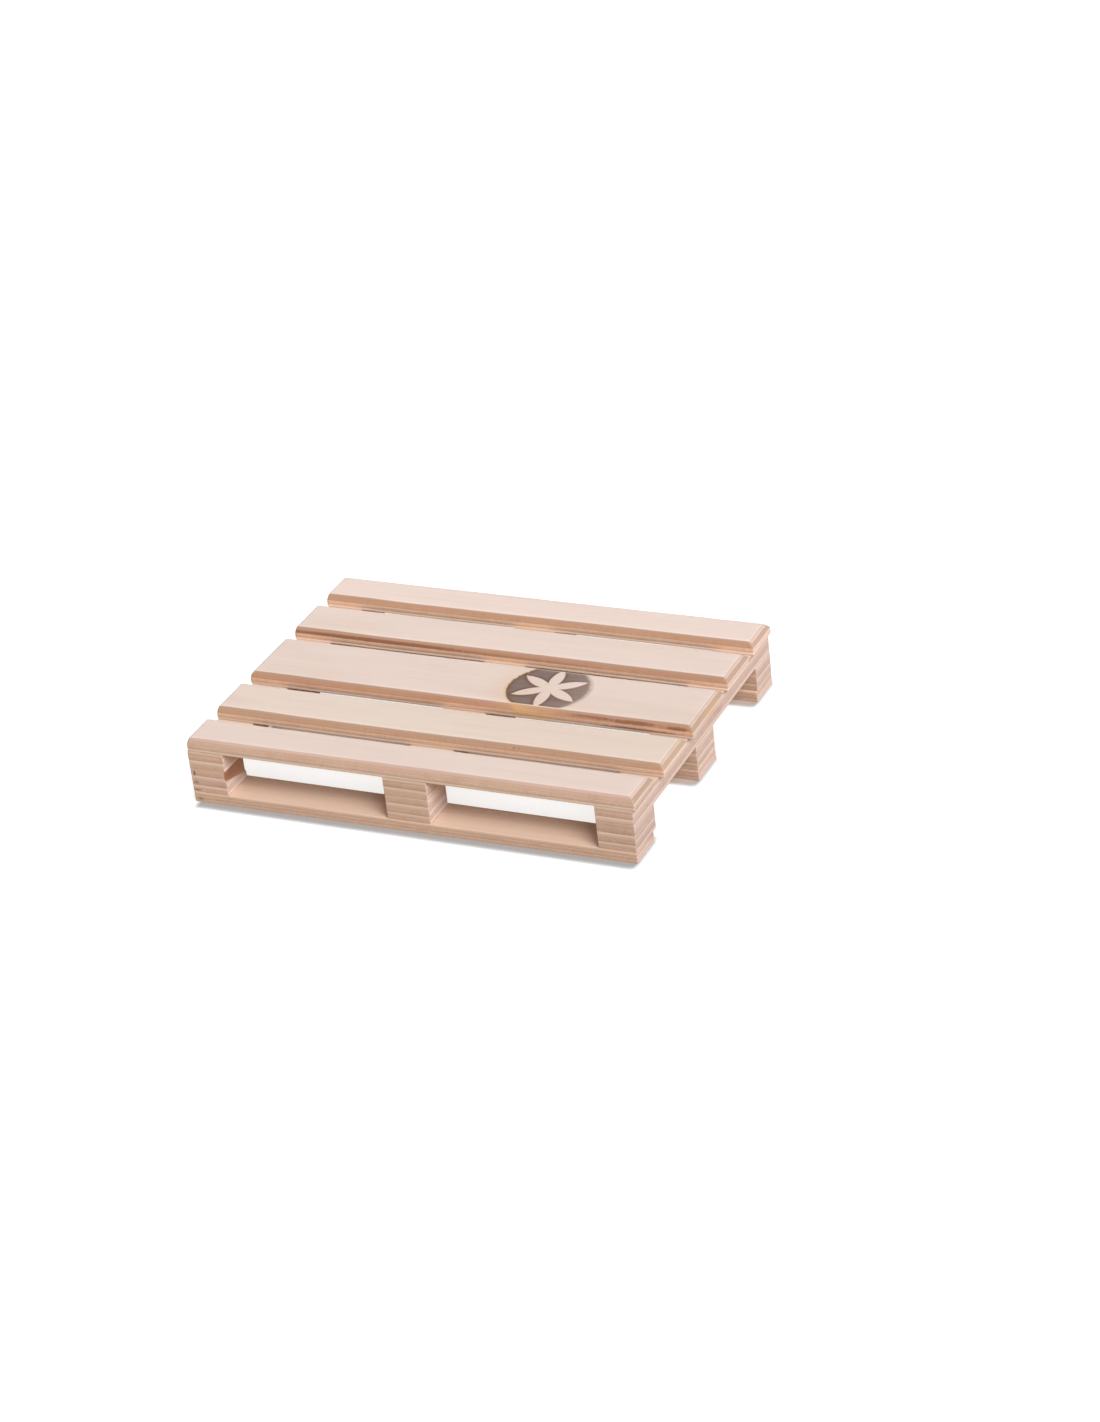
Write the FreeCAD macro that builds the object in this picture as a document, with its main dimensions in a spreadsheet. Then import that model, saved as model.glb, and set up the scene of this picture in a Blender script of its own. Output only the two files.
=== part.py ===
import FreeCAD, Part
import Sketcher
import os

# Small plywood pallet, modelled in millimetres.
# X runs along the deck boards, Y from the front edge to the rear edge, Z is up.
# The origin is on the resting surface, below the middle of the pallet.

DRIVING_DIMENSIONS = {
    "base_length": 119.9,
    "base_shift": -0.65,
    "front_deck_length": 120.2,
    "front_deck_shift": -0.2,
    "front_inner_deck_length": 121.5,
    "front_inner_deck_shift": 0.15,
    "centre_deck_length": 121.8,
    "centre_deck_shift": 0.0,
    "rear_inner_deck_length": 121.2,
    "rear_inner_deck_shift": -0.2,
    "rear_deck_length": 120.9,
    "rear_deck_shift": -0.45,
    "outer_deck_width": 12.0,
    "inner_deck_width": 14.4,
    "centre_deck_width": 20.2,
    "deck_gap": 4.25,
    "deck_thickness": 3.3,
    "deck_chamfer": 1.4,
    "left_end_chamfer": 0.4,
    "centre_left_end_chamfer": 0.8,
    "stringer_thickness": 5.0,
    "block_height": 6.6,
    "bottom_thickness": 2.9,
    "end_block_length": 10.0,
    "middle_block_length": 11.8,
    "outer_block_depth": 10.0,
    "front_right_block_depth": 12.2,
    "middle_block_depth": 11.5,
    "outer_bottom_width": 10.6,
    "middle_bottom_width": 11.5,
}

doc = FreeCAD.newDocument("SmallPallet")

sheet = doc.addObject("Spreadsheet::Sheet", "Dimensions")
for row, (name, value) in enumerate(DRIVING_DIMENSIONS.items(), start=1):
    sheet.set(f"A{row}", name)
    sheet.set(f"B{row}", str(value))
    sheet.setAlias(f"B{row}", name)
doc.recompute()


def cells(formula):
    """Write a formula of dimension names as one that reads the sheet's cells."""
    words = formula.split()
    return " ".join(f"Dimensions.{word}" if word in DRIVING_DIMENSIONS else word for word in words)


# Distances from the middle of the pallet, as formulas of the driving dimensions. The deck
# boards are not quite of one length and their ends do not line up, so each has a length and a
# shift along X of its own. The base is everything below them.
INNER_DECK_Y = "( centre_deck_width / 2 + deck_gap + inner_deck_width / 2 )"
HALF_WIDTH = "( centre_deck_width / 2 + 2 * deck_gap + inner_deck_width + outer_deck_width )"
OUTER_DECK_Y = f"( {HALF_WIDTH} - outer_deck_width / 2 )"
LEFT_COLUMN_X = "( base_shift - base_length / 2 + end_block_length / 2 )"
RIGHT_COLUMN_X = "( base_shift + base_length / 2 - end_block_length / 2 )"

# Heights of the layers, from the resting surface up.
BLOCK_Z = "bottom_thickness"
STRINGER_Z = "( bottom_thickness + block_height )"
DECK_Z = "( bottom_thickness + block_height + stringer_thickness )"


def origin_plane(body, role):
    for feature in body.Origin.OriginFeatures:
        if feature.Role == role:
            return feature
    raise RuntimeError(f"{body.Label} has no {role}")


def draw_centred_rectangle(sketch, length, width):
    """Draw a rectangle around the sketch's origin, with its two sizes bound to the sheet."""
    corners = [(-10, -5), (10, -5), (10, 5), (-10, 5)]
    points = [FreeCAD.Vector(x, y, 0) for x, y in corners]
    for index, start in enumerate(points):
        end = points[(index + 1) % len(points)]
        sketch.addGeometry(Part.LineSegment(start, end), False)
    start_point, end_point, sketch_axes = 1, 2, -1
    add = sketch.addConstraint
    for line in range(4):
        add(Sketcher.Constraint("Coincident", line, end_point, (line + 1) % 4, start_point))
    for line in (0, 2):
        add(Sketcher.Constraint("Horizontal", line))
    for line in (1, 3):
        add(Sketcher.Constraint("Vertical", line))
    add(Sketcher.Constraint("Symmetric", 0, start_point, 2, start_point, sketch_axes, start_point))
    length_index = add(Sketcher.Constraint("DistanceX", 0, start_point, 0, end_point, 20))
    width_index = add(Sketcher.Constraint("DistanceY", 1, start_point, 1, end_point, 10))
    sketch.renameConstraint(length_index, "length")
    sketch.renameConstraint(width_index, "width")
    sketch.setExpression("Constraints.length", cells(length))
    sketch.setExpression("Constraints.width", cells(width))


def top_edges(shape, at_left_end):
    """Name the edges of the highest face: the one at the left end, or the three others."""
    top_face = max(shape.Faces, key=lambda face: face.CenterOfMass.z)
    left_end = top_face.BoundBox.XMin + 0.01
    names = []
    for number, edge in enumerate(shape.Edges, start=1):
        on_top = any(edge.isSame(border) for border in top_face.Edges)
        if on_top and (edge.BoundBox.XMax < left_end) == at_left_end:
            names.append(f"Edge{number}")
    return names


def add_board(name, size, place, left_end_chamfer=None):
    """Make one rectangular piece of wood as a body of its own.

    size is the formulas of its extent along X, Y and Z, and place is the formulas
    of the middle of its underside. With a left_end_chamfer, which is a dimension's name,
    its upper edges are bevelled, and the one at the left end has a bevel of that size.
    """
    length, width, thickness = size
    body = doc.addObject("PartDesign::Body", name)
    body.Label = name

    outline = body.newObject("Sketcher::SketchObject", f"{name}_outline")
    outline.AttachmentSupport = [(origin_plane(body, "XY_Plane"), "")]
    outline.MapMode = "FlatFace"
    draw_centred_rectangle(outline, length, width)

    board = body.newObject("PartDesign::Pad", f"{name}_pad")
    board.Profile = outline
    board.setExpression("Length", cells(thickness))
    doc.recompute()

    if left_end_chamfer:
        chamfer = body.newObject("PartDesign::Chamfer", f"{name}_chamfer")
        chamfer.Base = (board, top_edges(board.Shape, False))
        chamfer.setExpression("Size", cells("deck_chamfer"))
        doc.recompute()
        end_chamfer = body.newObject("PartDesign::Chamfer", f"{name}_left_end_chamfer")
        end_chamfer.Base = (chamfer, top_edges(chamfer.Shape, True))
        end_chamfer.setExpression("Size", cells(left_end_chamfer))

    for axis, formula in zip("xyz", place):
        body.setExpression(f"Placement.Base.{axis}", cells(formula))
    return body


bodies = []

# Three bottom boards lie on the resting surface, along X, under the three rows of blocks.
OUTER_BOTTOM_Y = f"( {HALF_WIDTH} - outer_bottom_width / 2 )"
bottom_rows = {
    "front": ("outer_bottom_width", f"-1 * {OUTER_BOTTOM_Y}"),
    "middle": ("middle_bottom_width", "0"),
    "rear": ("outer_bottom_width", OUTER_BOTTOM_Y),
}
for row, (width, y) in bottom_rows.items():
    size = ("base_length", width, "bottom_thickness")
    bodies.append(add_board(f"bottom_board_{row}", size, ("base_shift", y, "0")))

# Nine blocks stand on the bottom boards in three rows and three columns. Their outer faces
# are flush with the ends and the outer edges of the bottom boards.
columns = {
    "left": ("end_block_length", LEFT_COLUMN_X),
    "middle": ("middle_block_length", "base_shift"),
    "right": ("end_block_length", RIGHT_COLUMN_X),
}
for row in ("front", "middle", "rear"):
    for column, (length, x) in columns.items():
        if row == "middle":
            depth = "middle_block_depth"
            y = "0"
        elif (row, column) == ("front", "right"):
            depth = "front_right_block_depth"
            y = f"{depth} / 2 - {HALF_WIDTH}"
        else:
            depth = "outer_block_depth"
            side = "-1" if row == "front" else "1"
            y = f"{side} * ( {HALF_WIDTH} - {depth} / 2 )"
        size = (length, depth, "block_height")
        bodies.append(add_board(f"block_{row}_{column}", size, (x, y, BLOCK_Z)))

# Three stringer boards run across the deck, along Y, on top of the columns of blocks.
for column, (length, x) in columns.items():
    size = (length, f"2 * {HALF_WIDTH}", "stringer_thickness")
    bodies.append(add_board(f"stringer_{column}", size, (x, "0", STRINGER_Z)))

# Five deck boards lie side by side on the stringers. Their upper edges are bevelled all round,
# with a smaller bevel at the left end.
deck = {
    "front": ("outer_deck_width", f"-1 * {OUTER_DECK_Y}"),
    "front_inner": ("inner_deck_width", f"-1 * {INNER_DECK_Y}"),
    "centre": ("centre_deck_width", "0"),
    "rear_inner": ("inner_deck_width", INNER_DECK_Y),
    "rear": ("outer_deck_width", OUTER_DECK_Y),
}
for board, (width, y) in deck.items():
    left_end_chamfer = "centre_left_end_chamfer" if board == "centre" else "left_end_chamfer"
    size = (f"{board}_deck_length", width, "deck_thickness")
    place = (f"{board}_deck_shift", y, DECK_Z)
    bodies.append(add_board(f"deck_board_{board}", size, place, left_end_chamfer))

doc.recompute()

for item in doc.Objects:
    if "Invalid" in item.State or "Error" in item.State:
        raise RuntimeError(f"{item.Label} did not recompute: {item.State}")
for body in bodies:
    if body.Shape.isNull() or not body.Shape.isValid() or len(body.Shape.Solids) != 1:
        raise RuntimeError(f"{body.Label} is not one valid solid")

os.makedirs("parts", exist_ok=True)
for body in bodies:
    body.Shape.exportStep(os.path.join("parts", f"{body.Label}.step"))
    box = body.Shape.BoundBox
    print(f"{body.Label}: x {box.XMin:.2f}..{box.XMax:.2f}, y {box.YMin:.2f}..{box.YMax:.2f}, "
          f"z {box.ZMin:.2f}..{box.ZMax:.2f}, volume {body.Shape.Volume:.1f}")
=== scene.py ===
import math
import random

import bpy
import numpy as np
from mathutils import Matrix, Vector, noise


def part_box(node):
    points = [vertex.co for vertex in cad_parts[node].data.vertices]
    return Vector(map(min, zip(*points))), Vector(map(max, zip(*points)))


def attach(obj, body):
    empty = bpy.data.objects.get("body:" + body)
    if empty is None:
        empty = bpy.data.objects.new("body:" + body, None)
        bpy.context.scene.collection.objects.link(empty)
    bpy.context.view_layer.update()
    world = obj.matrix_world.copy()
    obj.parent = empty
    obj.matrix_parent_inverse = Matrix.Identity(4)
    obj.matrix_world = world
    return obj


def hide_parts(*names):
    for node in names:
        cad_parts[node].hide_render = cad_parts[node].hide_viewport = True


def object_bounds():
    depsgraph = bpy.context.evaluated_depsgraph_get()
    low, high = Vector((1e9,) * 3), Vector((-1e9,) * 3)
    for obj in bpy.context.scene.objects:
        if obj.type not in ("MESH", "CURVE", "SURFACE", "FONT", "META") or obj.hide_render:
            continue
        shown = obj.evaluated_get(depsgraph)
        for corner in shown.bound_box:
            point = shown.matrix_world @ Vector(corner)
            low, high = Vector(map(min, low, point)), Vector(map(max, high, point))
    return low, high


# A small plywood pallet: every board and block of the CAD frame is replaced by a lattice mesh of
# the same outline, with sanded arrises, open glue lines and end grain that stands a little low,
# and gets a solid plywood material. Shapes are worked out in millimetres and written in metres.

MM = 0.001

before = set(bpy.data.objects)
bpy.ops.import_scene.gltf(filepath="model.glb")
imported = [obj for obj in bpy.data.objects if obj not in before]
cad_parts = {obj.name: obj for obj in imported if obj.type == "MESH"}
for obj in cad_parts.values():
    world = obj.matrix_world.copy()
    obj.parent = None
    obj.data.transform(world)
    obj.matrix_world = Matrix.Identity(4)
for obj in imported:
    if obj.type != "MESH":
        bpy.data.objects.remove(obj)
cad_low, cad_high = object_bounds()


# ---------------------------------------------------------------- veneers

# A stack lists the veneers of a board from its underside up: the share of the thickness, and the
# axis along which the fibres run.
STACKS = {
    "bottom": ((0.31, "Y"), (0.36, "Y"), (0.33, "X")),
    "block": ((0.15, "Y"), (0.16, "X"), (0.20, "Y"), (0.20, "X"), (0.29, "Y")),
    "stringer": ((0.22, "Y"), (0.28, "X"), (0.30, "Y"), (0.20, "X")),
    "deck": ((0.24, "X"), (0.58, "Y"), (0.18, "X")),
}

DECK_BEVEL = 1.4
LEFT_END_BEVEL = 0.4
CENTRE_LEFT_END_BEVEL = 0.8
ARRIS_SOFTNESS = 0.10
GLUE_GROOVE_DEPTH = 0.045
GLUE_GROOVE_WIDTH = 0.05
GLUE_GROOVE_REACH = 0.07
END_GRAIN_SINK = 0.03

# Sanding leaves long waves and weaker short ones on all sides and on the deck boards' tops; the
# other tops stay flat. A SINK is how far inside the outline the waves lie, in wave heights.
SURFACE_WAVE = 0.06
LONG_WAVE = 0.07
SHORT_WAVE = 0.4
SHORT_WAVE_SHARE = 0.4
DECK_SINK = 0.0
BASE_SINK = 0.7

# Lattice: its pitch, and the distances from each end of a side at which it is closer together.
LATTICE_PITCH = {"bottom": 1.5, "block": 0.8, "stringer": 1.2, "deck": 1.0}
MARK_PITCH = 0.25
END_STEPS = [0.0, 0.1, 0.25, 0.5, 0.8]
BEVEL_END_STEPS = [0.0, 0.1, 0.25, 0.45, 0.52, 0.575, 0.63, 0.7, 0.95, 1.15, 1.3, 1.4, 1.5, 1.7, 2.1]
LEAST_LEVEL_STEP = 0.03

# The front sides of these boards bulge into the gaps, least near the left end.
BOW = 0.18
BOW_RIPPLE = 0.35
BOW_RIPPLE_LENGTH = 13.0
BOW_START_X = -52.0
BOW_RISE_LENGTH = 14.0
BOW_LEAST = 0.15
BOWED_BOARDS = (
    "deck_board_front_inner", "deck_board_centre", "deck_board_rear_inner", "deck_board_rear")

# The right side of one block has torn out above a slanting line and shows a dark veneer, painted darker
# still as shade under the stringer's overhang.
TORN_BLOCK = "block_front_left"
TEAR_SLOPE = -0.25
TEAR_RISE = -4.26
TEAR_DEPTH = 0.35
TEAR_EDGE = 0.4


def kind_of(node):
    return node.split("_")[0]


def glue_heights(low, high, stack):
    """Heights of the glue lines between the veneers."""
    heights = []
    share = 0.0
    for part, _ in stack[:-1]:
        share += part
        heights.append(low + share * (high - low))
    return heights


# ---------------------------------------------------------------- burned mark

# A generic six-petal compass rosette is burned into the centre deck board.
MARK_CENTRE = (18.5, 0.0)
MARK_RADIUS = 11.0
ROSETTE_RADIUS = 9.0
PETAL_SWELL = 0.25
MARK_DEPTH = 0.15
PETALS = 6
SECTOR = 2 * math.pi / PETALS
FLAT_HALF_WIDTH = 8.7
MARK_WALL = 0.3
PETAL_WALL = 0.25


def mark_depth(x, y):
    """How deep the branding iron has gone in at a point, as a share of the full depth."""
    dx, dy = x - MARK_CENTRE[0], y - MARK_CENTRE[1]
    radius = math.hypot(dx, dy)
    rim = min(1.0, max(0.0, (MARK_RADIUS - radius) / MARK_WALL))
    angle = abs((math.atan2(dy, dx) % SECTOR) - SECTOR / 2)
    along, across = radius * math.cos(angle), radius * math.sin(angle)
    arc_x = ROSETTE_RADIUS * math.cos(SECTOR)
    arc_y = -ROSETTE_RADIUS * math.sin(SECTOR)
    outside = math.hypot(along - arc_x, across - arc_y) - ROSETTE_RADIUS - PETAL_SWELL
    flat = min(1.0, max(0.0, (FLAT_HALF_WIDTH - abs(y)) / MARK_WALL))
    return rim * flat * min(1.0, max(0.0, outside / PETAL_WALL))


# ---------------------------------------------------------------- meshes


def stations(low, high, pitch, chamfer, fine=None):
    """Lattice positions along one axis: close together near both ends and in the fine stretch."""
    near_end = BEVEL_END_STEPS if chamfer else END_STEPS
    inner_low, inner_high = low + near_end[-1], high - near_end[-1]
    count = max(1, round((inner_high - inner_low) / pitch))
    places = [low + step for step in near_end]
    places += [inner_low + (inner_high - inner_low) * i / count for i in range(1, count)]
    places += [high - step for step in reversed(near_end)]
    if fine:
        start, end, fine_pitch = fine
        start, end = max(start, inner_low), min(end, inner_high)
        places = [p for p in places if not start - 0.15 < p < end + 0.15]
        steps = round((end - start) / fine_pitch)
        places += [start + (end - start) * i / steps for i in range(steps + 1)]
    return sorted(places)


def levels(low, high, glue):
    """Lattice heights of the sides, with three at each glue line."""
    places = [low, low + 0.1, low + 0.25, high - 0.25, high - 0.1, high]
    for height in glue:
        places += [height - GLUE_GROOVE_REACH, height, height + GLUE_GROOVE_REACH]
    for start, end in zip([low] + glue, glue + [high]):
        places.append((start + end) / 2)
    kept = []
    for place in sorted(p for p in places if low <= p <= high):
        if not kept or place - kept[-1] > LEAST_LEVEL_STEP:
            kept.append(place)
    return kept


def lattice_box(xs, ys, zs):
    """Points and outward faces of a box's surface, on the given lattice."""
    index = {}
    points = []

    def point(i, j, k):
        key = (i, j, k)
        if key not in index:
            index[key] = len(points)
            points.append((xs[i], ys[j], zs[k]))
        return index[key]

    faces = []
    last_x, last_y, last_z = len(xs) - 1, len(ys) - 1, len(zs) - 1
    for i in range(last_x):
        for j in range(last_y):
            corners = ((i, j), (i + 1, j), (i + 1, j + 1), (i, j + 1))
            faces.append([point(a, b, last_z) for a, b in corners])
            faces.append([point(a, b, 0) for a, b in reversed(corners)])
    for i in range(last_x):
        for k in range(last_z):
            corners = ((i, k), (i + 1, k), (i + 1, k + 1), (i, k + 1))
            faces.append([point(a, 0, b) for a, b in corners])
            faces.append([point(a, last_y, b) for a, b in reversed(corners)])
    for j in range(last_y):
        for k in range(last_z):
            corners = ((j, k), (j + 1, k), (j + 1, k + 1), (j, k + 1))
            faces.append([point(last_x, a, b) for a, b in corners])
            faces.append([point(0, a, b) for a, b in reversed(corners)])
    return np.array(points), faces


def bevels_of(node):
    """The bevels along a board's upper edges: for X and for Y, at the low end and at the high one."""
    if kind_of(node) != "deck":
        return None
    left_end = CENTRE_LEFT_END_BEVEL if node == "deck_board_centre" else LEFT_END_BEVEL
    return (left_end, DECK_BEVEL), (DECK_BEVEL, DECK_BEVEL)


def outline_planes(low, high, bevels):
    """The flat faces of a board as outward normals and distances."""
    normals, distances = [], []
    for axis in range(3):
        for sign, bound in ((1.0, high), (-1.0, low)):
            normal = np.zeros(3)
            normal[axis] = sign
            normals.append(normal)
            distances.append(sign * bound[axis])
    if bevels:
        for axis in (0, 1):
            for sign, bound, bevel in zip((-1.0, 1.0), (low, high), bevels[axis]):
                normal = np.zeros(3)
                normal[axis] = sign
                normal[2] = 1.0
                edge = sign * bound[axis] + high[2] - bevel
                normals.append(normal / math.sqrt(2))
                distances.append(edge / math.sqrt(2))
    return np.array(normals), np.array(distances)


def soften(points, normals, distances, softness):
    """Pull points in near arrises, and return them with their outward directions."""
    for _ in range(3):
        reach = (points @ normals.T - distances) / softness
        highest = reach.max(axis=1, keepdims=True)
        weight = np.exp(reach - highest)
        total = weight.sum(axis=1, keepdims=True)
        excess = softness * (np.log(total) + highest)
        direction = weight @ normals / total
        length = np.linalg.norm(direction, axis=1, keepdims=True)
        points = points - direction * excess / np.maximum(length, 0.3) ** 2
        direction = direction / np.maximum(length, 1e-6)
    return points, direction


def hand_work(points, outward, low, high, stack, seed, relief_top, settle):
    """Sanding waves, open glue lines and low end grain, as one offset along each point's normal."""
    glue = glue_heights(low[2], high[2], stack)
    tops = glue + [high[2] + 1.0]
    shift = Vector((seed * 13.7, seed * 7.3, seed * 3.1))
    offsets = np.zeros(len(points))
    for n, (place, out) in enumerate(zip(points, outward)):
        side = 1.0 - abs(out[2]) ** 4
        veneer = next(i for i, top in enumerate(tops) if place[2] < top)
        across = out[0] if stack[veneer][1] == "X" else out[1]
        groove = sum(math.exp(-(((place[2] - height) / GLUE_GROOVE_WIDTH) ** 2)) for height in glue)
        short = noise.noise(Vector(place) * SHORT_WAVE + shift)
        wave = noise.noise(Vector(place) * LONG_WAVE + shift) + SHORT_WAVE_SHARE * short
        offset = SURFACE_WAVE * (wave - settle)
        offset -= side * (GLUE_GROOVE_DEPTH * groove + END_GRAIN_SINK * across * across)
        offsets[n] = offset
    moved = outward * offsets[:, None]
    if not relief_top:
        moved[:, 2] = 0.0
    moved[:, 2] = np.where(outward[:, 2] < -0.3, 0.0, moved[:, 2])
    return points + moved


def build_board(node, number):
    """The detailed mesh that stands for one CAD board or block."""
    kind = kind_of(node)
    stack = STACKS[kind]
    low, high = (np.array(corner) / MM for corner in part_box(node))
    bevels = bevels_of(node)
    chamfer = DECK_BEVEL if bevels else 0.0
    pitch = LATTICE_PITCH[kind]
    fine_x = fine_y = None
    if node == "deck_board_centre":
        reach = MARK_RADIUS + 0.5
        fine_x = (MARK_CENTRE[0] - reach, MARK_CENTRE[0] + reach, MARK_PITCH)
        fine_y = (MARK_CENTRE[1] - reach, MARK_CENTRE[1] + reach, MARK_PITCH)
    xs = stations(low[0], high[0], pitch, chamfer, fine_x)
    ys = stations(low[1], high[1], pitch, chamfer, fine_y)
    side_top = high[2] - chamfer
    glue = [height for height in glue_heights(low[2], high[2], stack) if height < side_top - 0.1]
    zs = levels(low[2], side_top, glue)
    points, faces = lattice_box(xs, ys, zs)
    if bevels:
        drop = np.zeros(len(points))
        for axis in (0, 1):
            drop = np.maximum(drop, bevels[axis][0] - (points[:, axis] - low[axis]))
            drop = np.maximum(drop, bevels[axis][1] - (high[axis] - points[:, axis]))
        on_top = points[:, 2] >= side_top - 1e-6
        points[:, 2] = np.where(on_top, high[2] - drop, points[:, 2])
    points, outward = soften(points, *outline_planes(low, high, bevels), ARRIS_SOFTNESS)
    points = hand_work(points, outward, low, high, stack, number, relief_top=kind == "deck",
                       settle=DECK_SINK if kind == "deck" else BASE_SINK)
    if node in BOWED_BOARDS:
        rise = np.clip((points[:, 0] - BOW_START_X) / BOW_RISE_LENGTH, BOW_LEAST, 1.0)
        ripple = 1.0 + BOW_RIPPLE * np.sin(points[:, 0] / BOW_RIPPLE_LENGTH + number)
        swell = BOW * rise * ripple
        points[:, 1] -= np.where(outward[:, 1] < -0.4, swell, 0.0)
    if node == TORN_BLOCK:
        above = points[:, 2] - (TEAR_RISE + TEAR_SLOPE * points[:, 1])
        on_right_side = points[:, 0] > high[0] - 1.0
        points[:, 0] -= TEAR_DEPTH * np.clip(above / TEAR_EDGE, 0.0, 1.0) * on_right_side
    if node == "deck_board_centre":
        for n, (x, y, z) in enumerate(points):
            if outward[n][2] > 0.5:
                points[n][2] = z - MARK_DEPTH * mark_depth(x, y)
    points[:, 2] = np.maximum(points[:, 2], low[2])
    points[:, :2] = np.clip(points[:, :2], np.array(cad_low[:2]) / MM, np.array(cad_high[:2]) / MM)
    points[:, 2] = np.minimum(points[:, 2], high[2])

    mesh = bpy.data.meshes.new(f"{node}_plywood")
    mesh.from_pydata([tuple(p * MM) for p in points], [], faces)
    mesh.validate()
    for polygon in mesh.polygons:
        polygon.use_smooth = True
    board = bpy.data.objects.new(f"{node}_plywood", mesh)
    bpy.context.scene.collection.objects.link(board)
    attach(board, "root")
    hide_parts(node)
    return board, low, high, stack


# ---------------------------------------------------------------- node helpers


class Graph:
    """Short ways to add and join shader nodes."""

    def __init__(self, tree):
        self.tree = tree
        tree.nodes.clear()

    def node(self, kind, inputs=None, **settings):
        made = self.tree.nodes.new(kind)
        for name, value in settings.items():
            setattr(made, name, value)
        for name, value in (inputs or {}).items():
            self.feed(made.inputs[name], value)
        return made

    def feed(self, socket, value):
        if isinstance(value, bpy.types.NodeSocket):
            self.tree.links.new(value, socket)
        else:
            socket.default_value = value

    def math(self, operation, *values, clamp=False):
        made = self.node("ShaderNodeMath", operation=operation, use_clamp=clamp)
        for socket, value in zip(made.inputs, values):
            self.feed(socket, value)
        return made.outputs[0]

    def vector(self, operation, *values):
        made = self.node("ShaderNodeVectorMath", operation=operation)
        for socket, value in zip(made.inputs, values):
            self.feed(socket, value)
        return made.outputs["Value" if operation == "LENGTH" else "Vector"]

    def smooth_range(self, value, start, end, low=0.0, high=1.0):
        made = self.node("ShaderNodeMapRange", interpolation_type="SMOOTHSTEP")
        for name, number in (("Value", value), ("From Min", start), ("From Max", end),
                             ("To Min", low), ("To Max", high)):
            self.feed(made.inputs[name], number)
        return made.outputs["Result"]

    def mix(self, factor, first, second, blend="MIX"):
        made = self.node("ShaderNodeMix", data_type="RGBA", blend_type=blend)
        self.feed(made.inputs[0], factor)
        self.feed(made.inputs[6], first)
        self.feed(made.inputs[7], second)
        return made.outputs[2]

    def mix_vector(self, factor, first, second):
        made = self.node("ShaderNodeMix", data_type="VECTOR")
        self.feed(made.inputs[0], factor)
        self.feed(made.inputs[4], first)
        self.feed(made.inputs[5], second)
        return made.outputs[1]

    def ramp(self, factor, stops, interpolation="LINEAR"):
        made = self.node("ShaderNodeValToRGB", inputs={"Fac": factor})
        made.color_ramp.interpolation = interpolation
        elements = made.color_ramp.elements
        while len(elements) < len(stops):
            elements.new(0.5)
        for element, (position, colour) in zip(elements, stops):
            element.position = position
            element.color = colour
        return made.outputs["Color"]

    def noise(self, vector, scale, detail=2.0, roughness=0.5, distortion=0.0):
        made = self.node("ShaderNodeTexNoise", inputs={
            "Vector": vector, "Scale": scale, "Detail": detail,
            "Roughness": roughness, "Distortion": distortion})
        return made.outputs["Fac"]


def grey(value):
    return (value, value, value, 1.0)


# ---------------------------------------------------------------- plywood material

FACE_VENEER = (0.776, 0.646, 0.569)
CORE_VENEER = (0.72, 0.55, 0.435)
BASE_VENEER = (0.75, 0.555, 0.43)
END_GRAIN = (0.77, 0.71, 0.68, 1.0)
LONG_GRAIN = (0.82, 0.81, 0.80, 1.0)
# X-facing sides are made lighter and bluer: partly sanded end grain, partly painted light standing for
# the key light on the right sides. The inner blocks and stringers, whose sides face the openings, and
# the deck boards get a further painted lift.
SANDED_END_AND_PAINTED_LIGHT = (0.94, 0.985, 1.11)
INNER_SIDE_PAINTED_LIGHT = 1.14
DECK_END_PAINTED_LIGHT = 1.12
GLUE_LINE = (0.30, 0.17, 0.10, 1.0)
PORE = (0.62, 0.42, 0.28, 1.0)
PINK_CAST = (1.0, 0.986, 0.984, 1.0)
YELLOW_CAST = (0.998, 0.993, 0.975, 1.0)
# Bevel colours: partly the sawn plies a bevel cuts through, partly painted shade that darkens these
# slanting faces.
SAWN_BEVEL_AND_SHADE = (0.66, 0.54, 0.45)
FACE_BEVEL_SHADE = 0.87
SAWN_END_BEVEL_AND_SHADE = (0.80, 0.75, 0.69, 1.0)
SAWN_END_CORE_AND_SHADE = (0.64, 0.57, 0.52, 1.0)
CHARRED_EDGE = (0.14, 0.066, 0.042, 1.0)
CHARRED_CORE = (0.17, 0.120, 0.105, 1.0)
TOASTED = (0.68, 0.40, 0.17, 1.0)
TORN_DARK_AND_SHADE = (0.25, 0.10, 0.05, 1.0)
TORN_LIGHT = (0.62, 0.34, 0.20, 1.0)

# Fibre textures: how fine each one is along the fibres and across them, per millimetre.
STREAK_SCALE = (0.022, 0.9, 0.9)
FIGURE_SCALE = (0.012, 0.11, 0.11)
PORE_SCALE = (0.45, 7.0, 7.0)
FINE_SCALE = (0.25, 4.0, 4.0)
MOTTLE_SCALE = 0.06
VENEER_WANDER_SCALE = 0.07
VENEER_WANDER = 0.35
GLUE_LINE_HALF = 0.045
BUMP_HEIGHT = 0.06 * MM

# Boards cut from a lighter or a darker sheet than the others, and boards whose lowest veneer is made
# lighter or darker. On the two rear deck boards that lift is partly a lighter back veneer and partly
# painted light, standing for light bounced into the gaps from the boards in front.
BOARD_LIGHTNESS = {"deck_board_rear": 1.075, "deck_board_rear_inner": 1.03,
                   "block_front_right": 0.96, "stringer_left": 1.04}
BACK_LIGHTNESS = {"deck_board_front": 0.90, "deck_board_rear_inner": 1.24, "deck_board_rear": 1.22}
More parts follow.
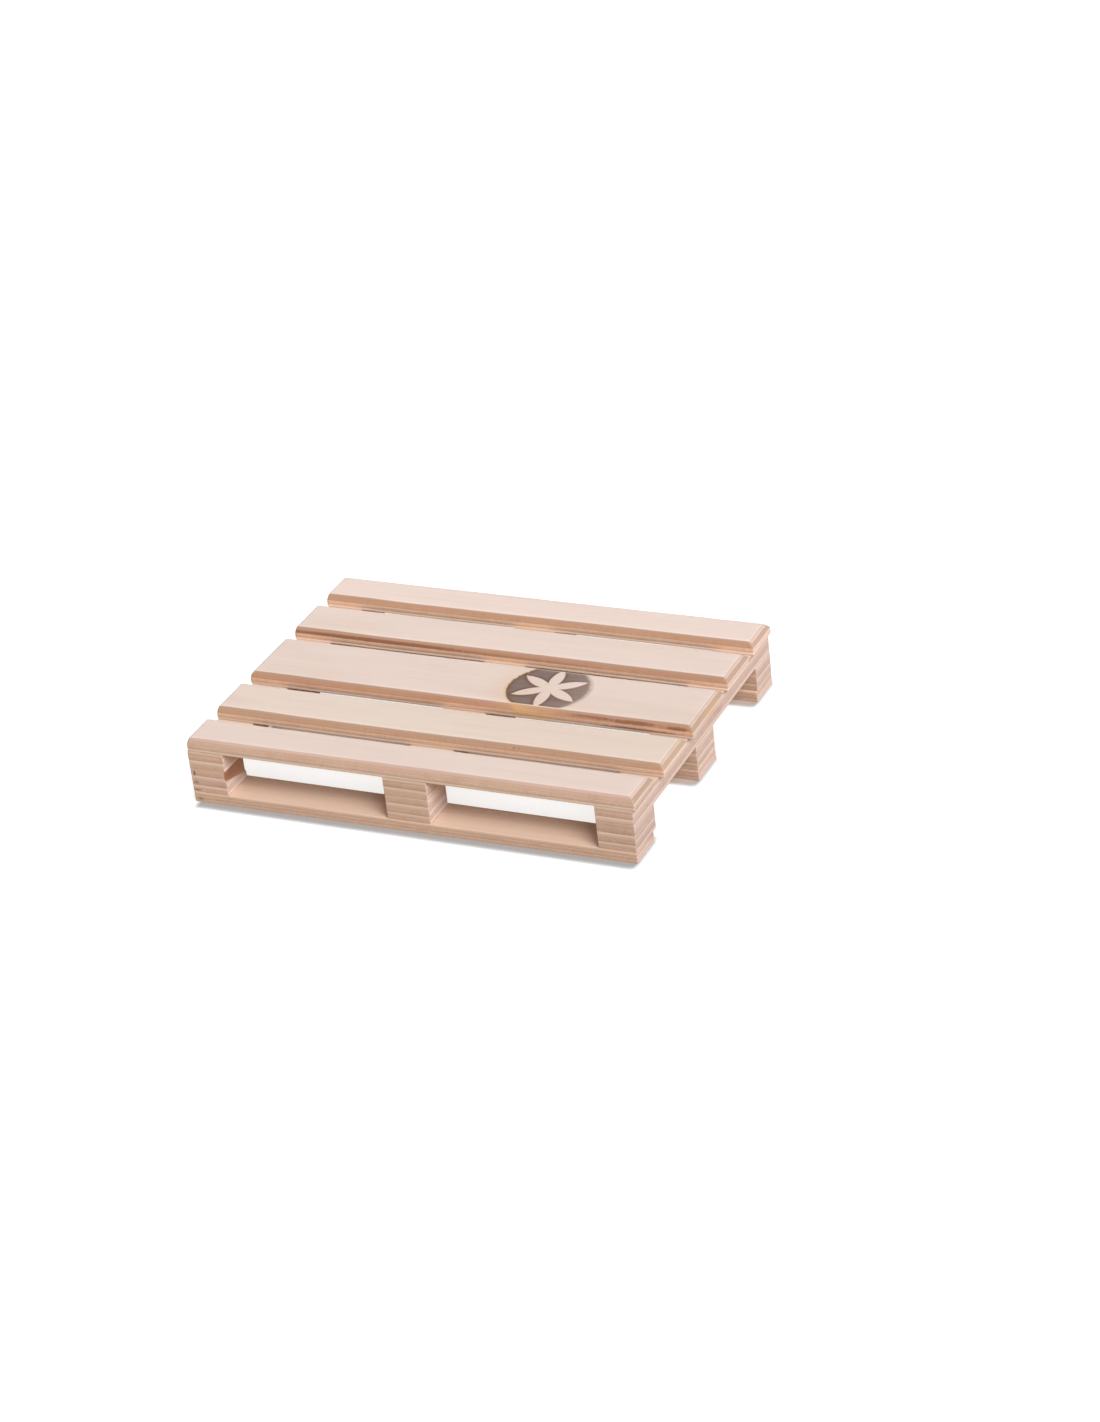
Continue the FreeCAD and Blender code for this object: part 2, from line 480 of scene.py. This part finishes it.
# Tints of the deck boards' long bevels, and of the core veneer on their long sides, set board by board.
# The bevel tints are partly sawn wood and partly painted shade, lighter on the open front board. The
# side tints are partly each board's own colour and partly painted light, which lifts the long sides
# standing in the gaps more than the front board's open one.
BEVEL_TONES = {
    "deck_board_front": (1.22, 1.30, 1.45),
    "deck_board_front_inner": (0.97, 0.94, 0.94),
    "deck_board_centre": (0.97, 0.90, 0.87),
    "deck_board_rear_inner": (0.93, 0.85, 0.81),
    "deck_board_rear": (0.95, 0.89, 0.85),
}
SIDE_TONES = {
    "deck_board_front": (0.86, 0.81, 0.84),
    "deck_board_front_inner": (0.98, 0.86, 0.83),
    "deck_board_centre": (1.06, 0.87, 0.81),
    "deck_board_rear_inner": (1.08, 0.95, 0.87),
    "deck_board_rear": (1.02, 0.93, 0.86),
}


def veneer_colours(stack, node, rng):
    """One colour for each veneer, a little different from board to board."""
    kind = kind_of(node)
    colours = []
    for place in range(len(stack)):
        outer = place == len(stack) - 1
        base, spread = CORE_VENEER, 0.045
        if kind == "deck" and outer:
            base, spread = FACE_VENEER, 0.015
        elif kind == "bottom" and outer:
            base, spread = BASE_VENEER, 0.015
        tone = BOARD_LIGHTNESS.get(node, 1.0) * (1 + rng.uniform(-spread, spread))
        # The lowest veneer's own lightness; on the rear deck boards it also carries painted bounce
        # light.
        if place == 0:
            tone *= BACK_LIGHTNESS.get(node, 1.0)
        warmth = rng.uniform(-0.02, 0.02)
        red, green, blue = (part * tone for part in base)
        colours.append((red, green * (1 + warmth), blue * (1 - warmth), 1.0))
    return colours


def rosette_masks(g, dx, dy, radius):
    """How far a point lies from the nearest petal's outline, outwards, and whether it is outside."""
    angle = g.math("ARCTAN2", dy, dx)
    turn = g.math("SUBTRACT", g.math("FLOORED_MODULO", angle, SECTOR), SECTOR / 2)
    turn = g.math("ABSOLUTE", turn)
    along = g.math("SUBTRACT", g.math("MULTIPLY", radius, g.math("COSINE", turn)),
                   ROSETTE_RADIUS * math.cos(SECTOR))
    across = g.math("ADD", g.math("MULTIPLY", radius, g.math("SINE", turn)),
                    ROSETTE_RADIUS * math.sin(SECTOR))
    squares = g.math("ADD", g.math("MULTIPLY", along, along), g.math("MULTIPLY", across, across))
    outside = g.math("SUBTRACT", g.math("SQRT", squares), ROSETTE_RADIUS + PETAL_SWELL)
    return outside, g.smooth_range(outside, -0.1, 0.3)


def scorch(g, colour, east, north, fibre):
    """The burned mark: char between the petals, and a toasted halo on its left side."""
    dx = g.math("SUBTRACT", east, MARK_CENTRE[0])
    dy = g.math("SUBTRACT", north, MARK_CENTRE[1])
    radius = g.math("SQRT", g.math("ADD", g.math("MULTIPLY", dx, dx), g.math("MULTIPLY", dy, dy)))
    outside, outside_petal = rosette_masks(g, dx, dy, radius)
    ragged = g.math("ADD", radius, g.math("MULTIPLY", g.math("SUBTRACT", fibre, 0.5), 1.1))
    rightward = g.smooth_range(dx, 0.0, MARK_RADIUS)

    # Heat spread from the iron's left side, so the wood is toasted there and the right rim is faint.
    slant = g.math("ADD", dx, g.math("MULTIPLY", dy, 0.6))
    leftward = g.smooth_range(slant, -MARK_RADIUS, 0.4 * MARK_RADIUS, 1.0, 0.12)
    near = g.math("MULTIPLY", g.smooth_range(ragged, MARK_RADIUS - 0.3, MARK_RADIUS + 1.3, 0.55, 0.0),
                  g.smooth_range(radius, MARK_RADIUS - 3.0, MARK_RADIUS - 0.4, 0.32, 1.0))
    far = g.smooth_range(ragged, MARK_RADIUS, MARK_RADIUS + 8.0, 0.16, 0.0)
    halo = g.math("MULTIPLY", g.math("MAXIMUM", near, far), leftward)
    colour = g.mix(halo, colour, TOASTED)

    soft_rim = g.math("SUBTRACT", MARK_RADIUS - 0.3, g.math("MULTIPLY", rightward, 1.3))
    disc = g.smooth_range(ragged, soft_rim, MARK_RADIUS + 0.15, 1.0, 0.0)
    flat = g.smooth_range(g.math("ABSOLUTE", north), FLAT_HALF_WIDTH - 0.3, FLAT_HALF_WIDTH + 0.1,
                          1.0, 0.0)
    heat = g.math("MULTIPLY", g.math("SUBTRACT", 0.94, g.math("MULTIPLY", rightward, 0.16)),
                  g.smooth_range(fibre, 0.15, 0.6, 0.85, 1.0))
    char = g.math("MULTIPLY", g.math("MULTIPLY", disc, outside_petal), g.math("MULTIPLY", heat, flat))
    depth = g.math("MINIMUM", outside, g.math("SUBTRACT", MARK_RADIUS, radius))
    greying = g.math("MULTIPLY", g.smooth_range(depth, 0.3, 1.5),
                     g.math("MULTIPLY_ADD", rightward, -0.6, 1.0))
    burn = g.mix(greying, CHARRED_EDGE, CHARRED_CORE)
    return g.mix(char, colour, burn), char


def stain_or_shade(g, colour, place, fibre, centre, reach, tint, strength, raggedness=1.4):
    """A dark streak, knot or void, or a patch of painted shade: an ellipsoid with a ragged edge."""
    apart = g.vector("DIVIDE", g.vector("SUBTRACT", place, centre), reach)
    ragged = g.math("MULTIPLY", g.math("SUBTRACT", fibre, 0.5), raggedness)
    distance = g.math("ADD", g.vector("LENGTH", apart), ragged)
    factor = g.smooth_range(distance, 0.45, 1.05, strength, 0.0)
    return g.mix(factor, colour, tint)


def plywood(node, low, high, stack, rng, stains_and_shade=(), burned=False):
    """A solid plywood material: its colour depends on the veneer and on how the fibres are cut, and
    carries painted light and shade that depend on which way a face points.
    """
    material = bpy.data.materials.new(f"{node}_plywood")
    material.use_nodes = True
    g = Graph(material.node_tree)
    kind = kind_of(node)

    texture = g.node("ShaderNodeTexCoord")
    place = g.vector("MULTIPLY", texture.outputs["Object"], (1 / MM, 1 / MM, 1 / MM))
    axes = g.node("ShaderNodeSeparateXYZ", inputs={"Vector": place})
    facing = g.node("ShaderNodeSeparateXYZ", inputs={"Vector": texture.outputs["Normal"]})
    seed = tuple(rng.uniform(-500, 500) for _ in range(3))
    shifted = g.vector("ADD", place, seed)

    # Which veneer the point lies in.
    drift = g.math("SUBTRACT", g.noise(shifted, VENEER_WANDER_SCALE), 0.5)
    wander = g.math("MULTIPLY", drift, VENEER_WANDER)
    height = g.math("ADD", axes.outputs["Z"], wander)
    thickness = float(high[2] - low[2])
    share = g.math("DIVIDE", g.math("SUBTRACT", height, float(low[2])), thickness, clamp=True)
    starts = [0.0]
    for part, _ in stack[:-1]:
        starts.append(starts[-1] + part)
    colours = veneer_colours(stack, node, rng)
    colour = g.ramp(share, list(zip(starts, colours)), "CONSTANT")
    crosswise = [(start, grey(float(axis == "Y"))) for start, (_, axis) in zip(starts, stack)]
    along_y = g.ramp(share, crosswise, "CONSTANT")
    own_shift = g.ramp(share, [(s, grey(0.15 * i)) for i, s in enumerate(starts)], "CONSTANT")
    half = GLUE_LINE_HALF / thickness
    glue_stops = [(0.0, grey(0.0))]
    for start in starts[1:]:
        glue_stops += [(start - half, grey(0.0)), (start, grey(1.0)), (start + half, grey(0.0))]
    glue = g.ramp(share, glue_stops)

    # Fibre coordinates: the first runs along the fibres of the veneer at hand.
    swapped = g.node("ShaderNodeCombineXYZ", inputs={
        "X": axes.outputs["Y"], "Y": axes.outputs["X"], "Z": axes.outputs["Z"]})
    fibres = g.mix_vector(along_y, place, swapped.outputs["Vector"])
    own_place = g.vector("MULTIPLY", own_shift, (900, 900, 900))
    fibres = g.vector("ADD", g.vector("ADD", fibres, seed), own_place)
    streak = g.noise(g.vector("MULTIPLY", fibres, STREAK_SCALE), 1.0, 4.0, 0.6, 0.3)
    figure = g.noise(g.vector("MULTIPLY", fibres, FIGURE_SCALE), 1.0, 3.0, 0.55, 1.2)
    pores = g.noise(g.vector("MULTIPLY", fibres, PORE_SCALE), 1.0, 2.0, 0.6)
    fine = g.noise(g.vector("MULTIPLY", fibres, FINE_SCALE), 1.0, 3.0, 0.65)
    mottle = g.noise(shifted, MOTTLE_SCALE, 2.0)

    squared_x = g.math("MULTIPLY", facing.outputs["X"], facing.outputs["X"])
    squared_y = g.math("MULTIPLY", facing.outputs["Y"], facing.outputs["Y"])
    end_x = g.math("MULTIPLY", squared_x, g.math("SUBTRACT", 1.0, along_y))
    end_grain = g.math("ADD", end_x, g.math("MULTIPLY", squared_y, along_y), clamp=True)

    colour = g.mix(g.smooth_range(mottle, 0.35, 0.65), g.mix(1.0, colour, PINK_CAST, "MULTIPLY"),
                   g.mix(1.0, colour, YELLOW_CAST, "MULTIPLY"))
    upward = g.math("MULTIPLY", facing.outputs["Z"], facing.outputs["Z"])
    contrast = g.math("SUBTRACT", 0.85, g.math("MULTIPLY", upward, 0.4))
    tone = g.ramp(streak, [(0.25, grey(0.88)), (0.5, grey(0.985)), (0.75, grey(1.03))])
    colour = g.mix(contrast, colour, g.mix(1.0, colour, tone, "MULTIPLY"))
    bands = g.ramp(figure, [
        (0.3, (0.93, 0.89, 0.85, 1.0)), (0.5, grey(1.0)), (0.7, (0.98, 0.96, 0.95, 1.0))])
    colour = g.mix(contrast, colour, g.mix(1.0, colour, bands, "MULTIPLY"))
    pore_mask = g.smooth_range(pores, 0.66, 0.78)
    colour = g.mix(g.math("MULTIPLY", pore_mask, 0.35), colour, PORE)
    if kind == "deck":
        # Painted light, partly the board's own colour: the core veneer on the long sides is tinted
        # board by board.
        side = SIDE_TONES[node] + (1.0,)
        core_side = g.math("MULTIPLY", squared_y, along_y)
        colour = g.mix(core_side, colour, g.mix(1.0, colour, side, "MULTIPLY"))
        face_end = g.math("MULTIPLY", end_x, 0.1)
        colour = g.mix(face_end, colour, g.mix(1.0, colour, END_GRAIN, "MULTIPLY"))
    else:
        long_y = g.math("MULTIPLY", squared_y, g.math("SUBTRACT", 1.0, along_y))
        # End grain is darkened less on X-facing sides, which is painted light: those sides stand
        # lighter, as the lit right sides do.
        cut_across = g.math("SUBTRACT", end_grain, g.math("MULTIPLY", end_x, 0.6))
        colour = g.mix(long_y, colour, g.mix(1.0, colour, LONG_GRAIN, "MULTIPLY"))
        colour = g.mix(cut_across, colour, g.mix(1.0, colour, END_GRAIN, "MULTIPLY"))
    # Painted light: X-facing sides are lightened and tinted bluish here, most on the inner blocks and
    # stringers.
    lift = DECK_END_PAINTED_LIGHT if kind == "deck" else 1.0
    if kind in ("block", "stringer") and not node.endswith("right"):
        lift = INNER_SIDE_PAINTED_LIGHT
    sanded_and_lit = tuple(part * lift for part in SANDED_END_AND_PAINTED_LIGHT) + (1.0,)
    colour = g.mix(squared_x, colour, g.mix(1.0, colour, sanded_and_lit, "MULTIPLY"))
    if kind == "deck":
        # The deck bevels are darkened, partly for the sawn plies and partly as painted shade on the
        # slanting faces.
        bevel = g.math("MULTIPLY", g.smooth_range(facing.outputs["Z"], 0.2, 0.5),
                       g.smooth_range(facing.outputs["Z"], 0.85, 0.97, 1.0, 0.0))
        core_cut_and_shade = tuple(part * tone for part, tone in zip(SAWN_BEVEL_AND_SHADE, BEVEL_TONES[node])) + (1.0,)
        face_cut_and_shade = tuple(part * FACE_BEVEL_SHADE for part in core_cut_and_shade[:3]) + (1.0,)
        long_cut_and_shade = g.mix(along_y, face_cut_and_shade, core_cut_and_shade)
        end_cut_and_shade = g.mix(along_y, SAWN_END_BEVEL_AND_SHADE, SAWN_END_CORE_AND_SHADE)
        cut = g.mix(g.math("MULTIPLY", squared_x, 2.0, clamp=True), long_cut_and_shade, end_cut_and_shade)
        colour = g.mix(bevel, colour, g.mix(1.0, colour, cut, "MULTIPLY"))
    speck = g.smooth_range(fine, 0.35, 0.65, 0.82, 1.06)
    specked = g.mix(1.0, colour, g.node("ShaderNodeCombineColor", inputs={
        "Red": speck, "Green": speck, "Blue": speck}).outputs[0], "MULTIPLY")
    colour = g.mix(g.math("MULTIPLY", end_grain, 0.7), colour, specked)
    colour = g.mix(g.math("MULTIPLY", glue, 0.45), colour, GLUE_LINE)

    char = 0.0
    for details in stains_and_shade:
        colour = stain_or_shade(g, colour, place, streak, *details)
    if node == TORN_BLOCK:
        # The torn patch is coloured dark: partly its own dark veneer, partly painted shade under the
        # stringer, darkest towards the front.
        line = g.math("MULTIPLY_ADD", axes.outputs["Y"], TEAR_SLOPE, TEAR_RISE)
        above = g.math("SUBTRACT", axes.outputs["Z"], line)
        rightward = g.smooth_range(facing.outputs["X"], 0.3, 0.7)
        torn_and_shaded = g.math("MULTIPLY", g.smooth_range(above, -0.15, 0.25), rightward)
        rearward = g.smooth_range(axes.outputs["Y"], -43.0, -35.0, 0.10, 0.90)
        colour = g.mix(g.math("MULTIPLY", torn_and_shaded, 0.92), colour, g.mix(rearward, TORN_DARK_AND_SHADE, TORN_LIGHT))
    if burned:
        colour, char = scorch(g, colour, axes.outputs["X"], axes.outputs["Y"], streak)

    rough = g.math("ADD", g.math("MULTIPLY", end_grain, 0.14),
                   g.smooth_range(streak, 0.2, 0.8, 0.66, 0.54))
    if burned:
        rough = g.math("ADD", rough, g.math("MULTIPLY", char, 0.2), clamp=True)
    relief = g.math("ADD", g.math("MULTIPLY", streak, 0.7), g.math("MULTIPLY", fine, 0.5))
    relief = g.math("SUBTRACT", relief, g.math("MULTIPLY", pore_mask, 0.8))
    relief = g.math("ADD", relief, g.math("MULTIPLY", g.math("MULTIPLY", fine, end_grain), 1.0))
    bump = g.node("ShaderNodeBump", inputs={
        "Strength": 0.45, "Distance": BUMP_HEIGHT, "Height": relief})
    shader = g.node("ShaderNodeBsdfPrincipled", inputs={
        "Base Color": colour, "Roughness": rough, "Normal": bump.outputs["Normal"],
        "Specular IOR Level": 0.3})
    output = g.node("ShaderNodeOutputMaterial")
    g.feed(output.inputs["Surface"], shader.outputs["BSDF"])
    return material


# ---------------------------------------------------------------- stains and painted shade of single boards

# This brown serves both heartwood streaks and the painted shade on the front bottom board.
HEARTWOOD_AND_SHADE = (0.22, 0.085, 0.035, 1.0)
KNOT = (0.13, 0.05, 0.025, 1.0)
AMBER = (0.60, 0.36, 0.17, 1.0)

# Each stain or patch of painted shade: middle, reach along X, Y and Z, colour, strength, and how ragged
# its edge is.
STAINS_AND_SHADE = {
    "deck_board_rear_inner": (
        ((-38.0, 14.7, 16.75), (36.0, 1.0, 0.50), HEARTWOOD_AND_SHADE, 0.86, 0.5),
        ((0.0, 14.7, 16.6), (36.0, 0.9, 0.40), HEARTWOOD_AND_SHADE, 0.40, 0.5),
    ),
    "deck_board_centre": (
        ((45.0, -9.6, 16.8), (9.0, 1.0, 0.50), HEARTWOOD_AND_SHADE, 0.80, 1.0),
        ((34.0, -9.6, 16.9), (7.0, 0.9, 0.40), HEARTWOOD_AND_SHADE, 0.62, 1.0),
        ((56.5, -9.8, 16.7), (4.0, 1.0, 0.45), HEARTWOOD_AND_SHADE, 0.85, 0.8),
        ((47.0, -10.1, 15.4), (14.0, 0.8, 0.35), HEARTWOOD_AND_SHADE, 0.66, 1.0),
        ((60.6, 2.0, 16.3), (1.6, 7.0, 1.3), AMBER, 0.28),
    ),
    "deck_board_front_inner": (
        ((21.4, -28.2, 16.95), (0.35, 0.8, 0.40), KNOT, 0.35, 0.4),
        ((22.8, -28.2, 16.95), (0.30, 0.8, 0.40), KNOT, 0.35, 0.4),
    ),
    "block_front_left": (
        ((-59.5, -45.0, 8.25), (0.40, 0.8, 0.90), KNOT, 0.80, 0.4),
        ((-59.4, -45.0, 5.70), (0.90, 0.8, 0.45), KNOT, 0.40, 0.8),
        ((-59.2, -45.0, 3.50), (1.40, 0.8, 0.45), KNOT, 0.45, 0.8),
    ),
    "bottom_board_front": (
        ((-58.9, -45.0, 0.95), (1.10, 0.8, 0.60), KNOT, 0.40, 0.8),
        # Painted shade: a broad brown darkening over the rear of the bottom board's top, under the
        # front deck board.
        ((0.0, -33.5, 2.9), (400.0, 6.5, 2.0), HEARTWOOD_AND_SHADE, 0.24, 0.3),
    ),
}


# ---------------------------------------------------------------- boards

FIRST_SEED = 100

for number, node in enumerate(sorted(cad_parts), start=1):
    board, low, high, stack = build_board(node, number)
    rng = random.Random(FIRST_SEED + number)
    burned = node == "deck_board_centre"
    material = plywood(node, low, high, stack, rng, STAINS_AND_SHADE.get(node, ()), burned)
    board.data.materials.append(material)


# ---------------------------------------------------------------- floor, light and camera

FLOOR_HALF = 6.0
FLOOR_WHITE = (0.84, 0.85, 0.87, 1.0)
FLOOR_BOUNCE = (0.64, 0.52, 0.43, 1.0)

# The contact shadow is painted into the floor's glow; the lamp adds only a faint part of it. Its depth
# follows how much of the tilted sky the pallet hides close by. It fades out beside the pallet's ends,
# and under the deck the glow is painted dimmer and brown, a painted shade and warm bounce of the wood.
CONTACT_REACH = 3.4 * MM
SHADOW_TILT = (0.0, 0.50, 0.87)
SHADOW_END_X = 60.5
SHADOW_FADE = 2.0
COVER_REACH = 30 * MM
UNDER_DECK = (0.93, 0.90, 0.86, 1.0)
UNDER_DECK_SHADOW = (0.22, 0.125, 0.08, 1.0)

KEY_DIRECTION = (0.60, -0.42, 0.68)
KEY_STRENGTH = 2.85
KEY_ANGLE = math.radians(34)
FILL_DIRECTION = (0.45, -0.50, 0.74)

CAMERA_AZIMUTH = math.radians(27.083)
CAMERA_ELEVATION = math.radians(28.902)
CAMERA_ROLL = math.radians(-6.765)
CAMERA_LENS = 89.34
SENSOR_WIDTH = 36.0
NEAREST_SEEN = 0.01
FARTHEST_SEEN = 50.0
# Where the middle of the pallet's base lies from the camera: to the right, down and ahead.
BASE_FROM_CAMERA = Vector((-15.14, 7.71, 890.31)) * MM


def make_floor():
    """A white sweep. The camera sees it glow white, and the pallet gets a warm bounce from it."""
    mesh = bpy.data.meshes.new("floor")
    corners = [(-1, -1), (1, -1), (1, 1), (-1, 1)]
    mesh.from_pydata([(x * FLOOR_HALF, y * FLOOR_HALF, 0) for x, y in corners], [], [(0, 1, 2, 3)])
    floor = bpy.data.objects.new("floor", mesh)
    bpy.context.scene.collection.objects.link(floor)
    material = bpy.data.materials.new("white_sweep")
    material.use_nodes = True
    g = Graph(material.node_tree)
    tilt = g.node("ShaderNodeCombineXYZ", inputs=dict(zip("XYZ", SHADOW_TILT)))
    contact = g.node("ShaderNodeAmbientOcclusion", samples=8, inputs={
        "Distance": CONTACT_REACH, "Normal": tilt.outputs["Vector"]})
    shade = g.ramp(contact.outputs["AO"], [
        (0.55, (0.0, 0.0, 0.0, 1.0)), (0.74, (0.09, 0.10, 0.11, 1.0)),
        (0.88, (0.42, 0.43, 0.44, 1.0)), (0.98, FLOOR_WHITE)])
    texture = g.node("ShaderNodeTexCoord")
    place = g.vector("MULTIPLY", texture.outputs["Object"], (1 / MM, 1 / MM, 1 / MM))
    east = g.node("ShaderNodeSeparateXYZ", inputs={"Vector": place}).outputs["X"]
    aside = g.math("ABSOLUTE", east)
    beside = g.smooth_range(aside, SHADOW_END_X - SHADOW_FADE, SHADOW_END_X, 0.0, 0.85)
    shade = g.mix(beside, shade, FLOOR_WHITE)
    cover = g.node("ShaderNodeAmbientOcclusion", samples=8, inputs={"Distance": COVER_REACH})
    under = g.smooth_range(cover.outputs["AO"], 0.35, 0.55, 1.0, 0.0)
    warmed = g.mix(1.0, g.mix(1.0, shade, UNDER_DECK, "MULTIPLY"), UNDER_DECK_SHADOW, "LIGHTEN")
    shade = g.mix(under, shade, warmed)
    glow = g.node("ShaderNodeEmission", inputs={"Color": shade, "Strength": 1.0})
    sheet = g.node("ShaderNodeBsdfDiffuse", inputs={"Color": (0.35, 0.35, 0.35, 1.0)})
    seen = g.node("ShaderNodeAddShader")
    g.feed(seen.inputs[0], glow.outputs[0])
    g.feed(seen.inputs[1], sheet.outputs[0])
    bounce = g.node("ShaderNodeBsdfDiffuse", inputs={"Color": FLOOR_BOUNCE})
    rays = g.node("ShaderNodeLightPath")
    choice = g.node("ShaderNodeMixShader", inputs={"Fac": rays.outputs["Is Camera Ray"]})
    g.feed(choice.inputs[1], bounce.outputs[0])
    g.feed(choice.inputs[2], seen.outputs[0])
    output = g.node("ShaderNodeOutputMaterial")
    g.feed(output.inputs["Surface"], choice.outputs[0])
    mesh.materials.append(material)


def make_sky():
    """Soft studio light from all round, stronger from overhead and from the key's side."""
    world = bpy.data.worlds.new("studio")
    bpy.context.scene.world = world
    world.use_nodes = True
    g = Graph(world.node_tree)
    direction = g.node("ShaderNodeTexCoord").outputs["Generated"]
    towards = g.node("ShaderNodeVectorMath", operation="DOT_PRODUCT",
                     inputs={0: direction, 1: FILL_DIRECTION}).outputs["Value"]
    towards = g.math("MULTIPLY_ADD", towards, 0.5, 0.5)
    tone = g.ramp(towards, [
        (0.0, (0.16, 0.15, 0.14, 1.0)), (0.5, (0.26, 0.25, 0.24, 1.0)), (1.0, (0.66, 0.66, 0.67, 1.0))])
    rays = g.node("ShaderNodeLightPath")
    light = g.node("ShaderNodeBackground", inputs={"Color": tone, "Strength": 1.0})
    backdrop = g.node("ShaderNodeBackground", inputs={"Color": grey(1.0), "Strength": 1.0})
    choice = g.node("ShaderNodeMixShader", inputs={"Fac": rays.outputs["Is Camera Ray"]})
    g.feed(choice.inputs[1], light.outputs[0])
    g.feed(choice.inputs[2], backdrop.outputs[0])
    output = g.node("ShaderNodeOutputWorld")
    g.feed(output.inputs["Surface"], choice.outputs[0])


def make_key_light():
    """A large soft light from the upper right, a little in front of the pallet."""
    lamp = bpy.data.lights.new("key", "SUN")
    lamp.energy = KEY_STRENGTH
    lamp.angle = KEY_ANGLE
    key = bpy.data.objects.new("key", lamp)
    key.rotation_mode = "QUATERNION"
    key.rotation_quaternion = Vector(KEY_DIRECTION).to_track_quat("Z", "Y")
    bpy.context.scene.collection.objects.link(key)


def make_camera():
    """The camera stands right of the front edge and is tilted a few degrees sideways."""
    back = Vector((math.sin(CAMERA_AZIMUTH) * math.cos(CAMERA_ELEVATION),
                   -math.cos(CAMERA_AZIMUTH) * math.cos(CAMERA_ELEVATION),
                   math.sin(CAMERA_ELEVATION)))
    level_right = Vector((math.cos(CAMERA_AZIMUTH), math.sin(CAMERA_AZIMUTH), 0.0))
    level_up = back.cross(level_right)
    right = math.cos(CAMERA_ROLL) * level_right + math.sin(CAMERA_ROLL) * level_up
    up = math.cos(CAMERA_ROLL) * level_up - math.sin(CAMERA_ROLL) * level_right
    location = -(right * BASE_FROM_CAMERA.x - up * BASE_FROM_CAMERA.y - back * BASE_FROM_CAMERA.z)
    data = bpy.data.cameras.new("camera")
    data.lens = CAMERA_LENS
    data.sensor_width = SENSOR_WIDTH
    data.clip_start = NEAREST_SEEN
    data.clip_end = FARTHEST_SEEN
    camera = bpy.data.objects.new("camera", data)
    turn = Matrix((right, up, back)).transposed().to_4x4()
    camera.matrix_world = Matrix.Translation(location) @ turn
    bpy.context.scene.collection.objects.link(camera)
    bpy.context.scene.camera = camera


make_floor()
make_sky()
make_key_light()
make_camera()
bpy.context.scene.view_settings.view_transform = "Standard"

bpy.context.view_layer.update()
